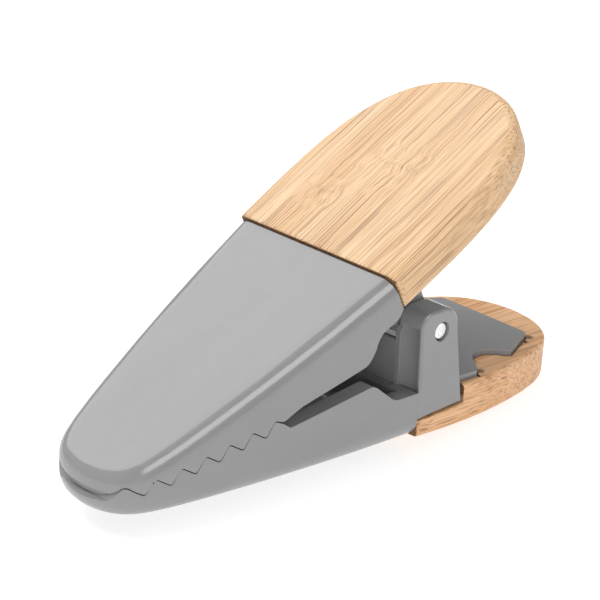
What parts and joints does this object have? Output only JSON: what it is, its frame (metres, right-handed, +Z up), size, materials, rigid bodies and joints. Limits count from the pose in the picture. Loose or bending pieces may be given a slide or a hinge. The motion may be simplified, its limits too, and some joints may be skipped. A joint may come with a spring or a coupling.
{
  "type": "bag clip",
  "caption": "Sprung bag clip with toothed grey moulded jaws on a cross pin and rounded bamboo finger grips.",
  "frame": {"origin": "on the lower jaw's flat underside, in the middle of the clip's width and 10 mm in front of the hinge pin", "axes": "+X towards the finger grips, +Y across the clip along the pin, +Z up, square to the lower jaw's underside"},
  "size_m": [0.1188, 0.0432, 0.0609],
  "materials": {
    "grey_abs": "glossy moulded mid-grey ABS",
    "light_bamboo": "pale laminated bamboo, fine lengthwise fibres, satin",
    "warm_bamboo": "warmer laminated bamboo, fine lengthwise fibres, satin",
    "steel": "bright drawn steel pin",
    "spring_steel": "drawn spring wire"
  },
  "bodies": {
    "lower": {"lower_jaw": "grey_abs", "lower_grip": "warm_bamboo", "hinge_pin": "steel", "torsion_spring": "spring_steel"},
    "upper": {"upper_jaw": "grey_abs", "upper_grip": "light_bamboo"}
  },
  "joints": [
    {"name": "open", "type": "hinge", "parent": "lower", "child": "upper", "pos_m": [0.01, 0, 0.0212], "axis": [0, 1, 0], "range_deg": [0, 45], "stiffness_Nm_per_rad": 0.3, "springref_deg": -28.65, "deforming": ["torsion_spring"]}
  ]
}
